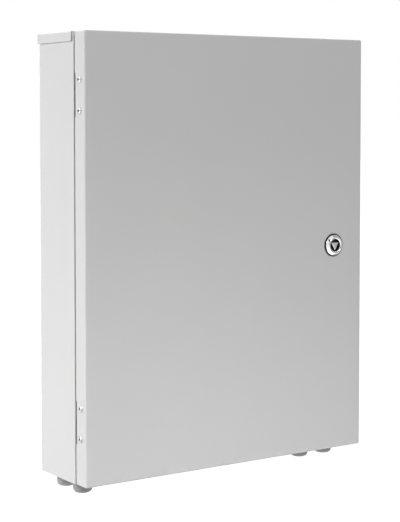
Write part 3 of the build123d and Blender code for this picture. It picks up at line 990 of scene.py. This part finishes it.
for node, edge in SHEET_NODES.items():
    dress(node, edge)
screws("hinge_door_screws", "hinge_screws_pan_head", LEFT, M4, M4_PITCH, PAN_HEAD, pan_head, PAN_RECESS)
screws("hinge_frame_screws", "hinge_screws_countersunk", FORWARD, M4, M4_PITCH,
       COUNTERSUNK_HEAD, countersunk_head, PAN_RECESS)
screws("cam_screw", "cam_screw_pan_head", BACK, M5, M5_PITCH, CAM_SCREW_HEAD, pan_head, CAM_RECESS)
studs("plate_studs", "plate_studs_threaded", FORWARD, M8, M8_PITCH, PLATE_FOOT)
studs("housing_earth_stud", "housing_earth_stud_threaded", RIGHT, M8, M8_PITCH, STUD_FOOT)
studs("door_earth_stud", "door_earth_stud_threaded", BACK, M6, M6_PITCH, STUD_FOOT)
rings("plate_washers", "plate_washers_eased", FORWARD, M8 + HOLE_FIT)
rings("housing_earth_washer", "housing_earth_washer_eased", RIGHT, M8 + HOLE_FIT)
rings("door_earth_washer", "door_earth_washer_eased", BACK, M6 + HOLE_FIT)
rings("cam_washer", "cam_washer_eased", BACK, M5 + HOLE_FIT)
rings("lock_seal", "lock_seal_ring", FORWARD, BARREL + HOLE_FIT, LOCK_SIDES)
nuts("plate_nuts", "plate_nuts_chamfered", FORWARD, M8 + HOLE_FIT)
nuts("housing_earth_nut", "housing_earth_nut_chamfered", RIGHT, M8 + HOLE_FIT)
nuts("door_earth_nut", "door_earth_nut_chamfered", BACK, M6 + HOLE_FIT)
nuts("hinge_frame_nuts", "hinge_nuts_chamfered", BACK, M4 + HOLE_FIT)
nuts("lock_nut", "lock_nut_chamfered", BACK, BARREL + HOLE_FIT)
for grommet_node in sorted(node for node in frame["nodes"] if SLOT_OF[node] == "grommet_rubber"):
    grommet(grommet_node, f"{grommet_node}_rubber")
lock()
gasket()


def white_seen(shader):
    """1 for what the camera, a mirror or glass sees, 0 for light on the object."""
    seen = shader.node("ShaderNodeLightPath", {}, {}, "Is Camera Ray")
    mirrored = shader.node("ShaderNodeLightPath", {}, {}, "Is Glossy Ray")
    through = shader.node("ShaderNodeLightPath", {}, {}, "Is Transmission Ray")
    return seen.larger(mirrored).larger(through)


def world():
    """White behind the object, and a weaker even light on it."""
    made = bpy.data.worlds.new("studio")
    made.use_nodes = True
    bpy.context.scene.world = made
    shader = Shader(made.node_tree)
    strength = AMBIENT + (1 - AMBIENT) * white_seen(shader)
    shader.fill(made.node_tree.nodes["Background"], {"Color": grey(1), "Strength": strength})


def rectangle(name, width, depth, height):
    """A flat rectangle at a height."""
    mesh = bmesh.new()
    corners = [(-1, -1), (1, -1), (1, 1), (-1, 1)]
    mesh.faces.new([mesh.verts.new((x * width / 2, y * depth / 2, height)) for x, y in corners])
    return mesh_object(name, mesh)


def floor_paint(shader):
    """Pale matt paint. What the camera sees of it is white where no shadow falls."""
    return {
        "Base Color": shader.greys(shader.noise(scale=2.0), *FLOOR_GREYS),
        "Roughness": 0.9,
        "Emission Color": shader.blend(white_seen(shader), grey(0), grey(FLOOR_GLOW)),
        "Emission Strength": 1,
    }


def studio_floor():
    """The floor below the object."""
    made = rectangle("studio_floor", FLOOR_WIDTH, FLOOR_WIDTH, FLOOR_HEIGHT)
    made.data.materials.append(finish("studio_floor", floor_paint))


def point_at(made, place, aim):
    """Puts a lamp or a card at a place, facing a point."""
    made.location = place
    made.rotation_euler = (Vector(aim) - Vector(place)).to_track_quat("-Z", "Y").to_euler()


def softbox(name, place, aim, width, height, power, spread=NO_GRID):
    """A rectangular studio lamp. A grid in front of it narrows its beam to a spread, in degrees."""
    lamp = bpy.data.lights.new(name, "AREA")
    lamp.shape = "RECTANGLE"
    lamp.size = width
    lamp.size_y = height
    lamp.energy = power
    lamp.spread = math.radians(spread)
    point_at(shown_object(name, lamp), place, aim)


def card(name, place, aim, width, height, brightness):
    """A studio card that shows only in reflections, and neither lights nor shades the object."""
    made = rectangle(name, width, height, 0)
    point_at(made, place, aim)
    made.visible_camera = False
    made.visible_diffuse = False
    made.visible_shadow = False
    made.data.materials.append(finish(name, lambda shader: {
        "Base Color": grey(0),
        "Specular IOR Level": 0,
        "Emission Color": grey(brightness),
        "Emission Strength": 1,
    }))


def camera():
    """The photo's camera."""
    lens = bpy.data.cameras.new("camera")
    lens.sensor_width = FILM
    lens.lens = FOCAL_PIXELS / PHOTO_HEIGHT * FILM
    lens.shift_y = HORIZON_ROW / PHOTO_HEIGHT - 0.5
    made = shown_object("camera", lens)
    made.location = CAMERA_PLACE
    made.rotation_euler = (math.radians(90 + CAMERA_PITCH), 0, math.radians(CAMERA_YAW))
    bpy.context.scene.camera = made


world()
studio_floor()
for lamp in SOFTBOXES:
    softbox(*lamp)
for sheet in CARDS:
    card(*sheet)
camera()
bpy.context.scene.view_settings.view_transform = "Standard"
